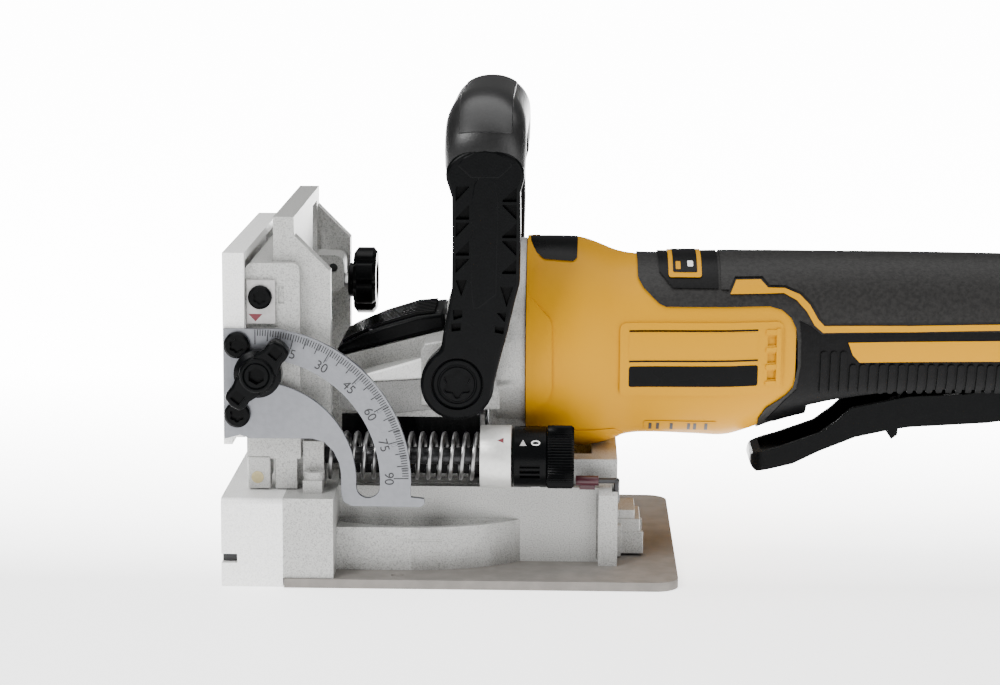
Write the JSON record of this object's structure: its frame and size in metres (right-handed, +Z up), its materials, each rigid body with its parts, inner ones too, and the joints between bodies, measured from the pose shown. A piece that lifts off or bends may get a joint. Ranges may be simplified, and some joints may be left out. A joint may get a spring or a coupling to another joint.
{
  "type": "biscuit joiner",
  "caption": "Cordless biscuit joiner: slotted base with plunging blade head, tilting fence with quadrant, loop front handle, paddle switch and slide-on battery.",
  "frame": {"origin": "underside of the sole at the front face, on the centre plane", "axes": "+X rearwards to the battery, +Y to the side away from the tilt quadrant, +Z up"},
  "size_m": [0.395, 0.1415, 0.172],
  "materials": {
    "anodised": "satin",
    "black_plastic": "matte",
    "board": "matte",
    "brass": "satin",
    "cast_aluminium": "satin",
    "cell_skin": "satin",
    "dark_steel": "satin",
    "label": "satin",
    "red_plastic": "satin",
    "rubber": "matte",
    "steel": "satin",
    "yellow_plastic": "gloss"
  },
  "bodies": {
    "base": {"front_block": "cast_aluminium", "base_housing": "cast_aluminium", "sole_plate": "steel", "sole_screws": "steel", "column_bracket": "cast_aluminium", "guide_rod": "dark_steel", "return_spring": "steel", "dust_port": "cast_aluminium", "anti_slip_pins": "rubber", "hex_key": "dark_steel", "key_clip": "black_plastic", "height_scale": "anodised"},
    "fence_carrier": {"fence_slide": "cast_aluminium", "height_rack": "steel", "pointer_plate": "anodised", "pointer_screw": "steel", "hinge_pins": "brass", "clamp_stud": "steel"},
    "fence_body": {"fence": "anodised", "quadrant_plate": "anodised", "quadrant_screws": "steel"},
    "tilt_clamp": {"wing_knob": "black_plastic"},
    "height_drive": {"height_pinion": "steel", "height_knob": "black_plastic"},
    "depth_stop": {"depth_knob": "black_plastic"},
    "front_handle": {"loop_handle": "black_plastic", "loop_grip": "rubber"},
    "head": {"pivot_screws": "dark_steel", "gear_case": "cast_aluminium", "gear_cover": "black_plastic", "cover_screws": "steel", "slide_shoe": "cast_aluminium", "spring_collar": "black_plastic", "motor_housing": "yellow_plastic", "stator": "steel", "motor_bearings": "steel", "grip_left": "black_plastic", "grip_right": "black_plastic", "housing_screws": "steel", "badge_plate": "label", "rating_panel": "black_plastic", "switch_block": "black_plastic", "control_board": "board", "terminal_rail": "black_plastic", "paddle_pin": "steel", "spindle_bearings": "steel"},
    "cutter": {"blade": "steel", "blade_flanges": "steel", "spindle": "steel", "bevel_wheel": "steel"},
    "rotor": {"rotor_shaft": "steel", "rotor_core": "steel", "fan": "black_plastic"},
    "arbor_lock": {"spindle_lock": "black_plastic"},
    "paddle": {"switch_paddle": "black_plastic"},
    "lock": {"lock_lever": "black_plastic"},
    "battery": {"battery_case": "black_plastic", "battery_cells": "cell_skin"},
    "release": {"battery_button": "red_plastic"}
  },
  "joints": [
    {"name": "plunge", "type": "slide", "parent": "base", "child": "head", "axis": [-1, 0, 0], "range_m": [0, 0.028], "stiffness_N_per_m": 600, "springref_m": -0.02, "deforming": ["return_spring"]},
    {"name": "fence_height", "type": "slide", "parent": "base", "child": "fence_carrier", "axis": [0, 0, 1], "range_m": [0, 0.025]},
    {"name": "height_turn", "type": "hinge", "parent": "base", "child": "height_drive", "pos_m": [0.03, 0.032, 0.093], "axis": [1, 0, 0], "range_deg": [-290, 0]},
    {"name": "fence_tilt", "type": "hinge", "parent": "fence_carrier", "child": "fence_body", "pos_m": [0.0113, 0, 0.0358], "axis": [0, -1, 0], "range_deg": [0, 90]},
    {"name": "clamp_turn", "type": "hinge", "parent": "fence_carrier", "child": "tilt_clamp", "pos_m": [0.0131, -0.066, 0.0747], "axis": [0, -1, 0], "continuous": true},
    {"name": "depth_turn", "type": "hinge", "parent": "head", "child": "depth_stop", "pos_m": [0.11, -0.046, 0.0423], "axis": [1, 0, 0], "continuous": true},
    {"name": "handle_tilt", "type": "hinge", "parent": "head", "child": "front_handle", "pos_m": [0.0809, 0, 0.0698], "axis": [0, 1, 0], "range_deg": [-12, 12]},
    {"name": "cutter_spin", "type": "hinge", "parent": "head", "child": "cutter", "pos_m": [0.062, 0, 0.01], "axis": [0, 0, 1], "continuous": true},
    {"name": "rotor_spin", "type": "hinge", "parent": "head", "child": "rotor", "pos_m": [0.13, 0, 0.0765], "axis": [1, 0, 0], "continuous": true},
    {"name": "arbor_lock_press", "type": "slide", "parent": "head", "child": "arbor_lock", "axis": [0, 0, -1], "range_m": [0, 0.0022], "stiffness_N_per_m": 600, "springref_m": -0.002},
    {"name": "paddle_press", "type": "hinge", "parent": "head", "child": "paddle", "pos_m": [0.29, 0, 0.061], "axis": [0, 1, 0], "range_deg": [0, 3.5], "stiffness_Nm_per_rad": 2, "springref_deg": -11.46},
    {"name": "lock_turn", "type": "hinge", "parent": "paddle", "child": "lock", "pos_m": [0.2388, 0, 0.053], "axis": [0, 1, 0], "range_deg": [0, 18], "stiffness_Nm_per_rad": 0.05, "springref_deg": -17.19},
    {"name": "battery_slide", "type": "slide", "parent": "head", "child": "battery", "axis": [0, 0, 1], "range_m": [0, 0.09]},
    {"name": "battery_release", "type": "slide", "parent": "battery", "child": "release", "axis": [0, 0, -1], "range_m": [0, 0.003], "stiffness_N_per_m": 500, "springref_m": -0.002}
  ],
  "couplings": [
    {"joint": "height_turn", "follows": "fence_height", "rad_per_m": -200},
    {"joint": "rotor_spin", "follows": "cutter_spin", "ratio": 3.6765}
  ]
}
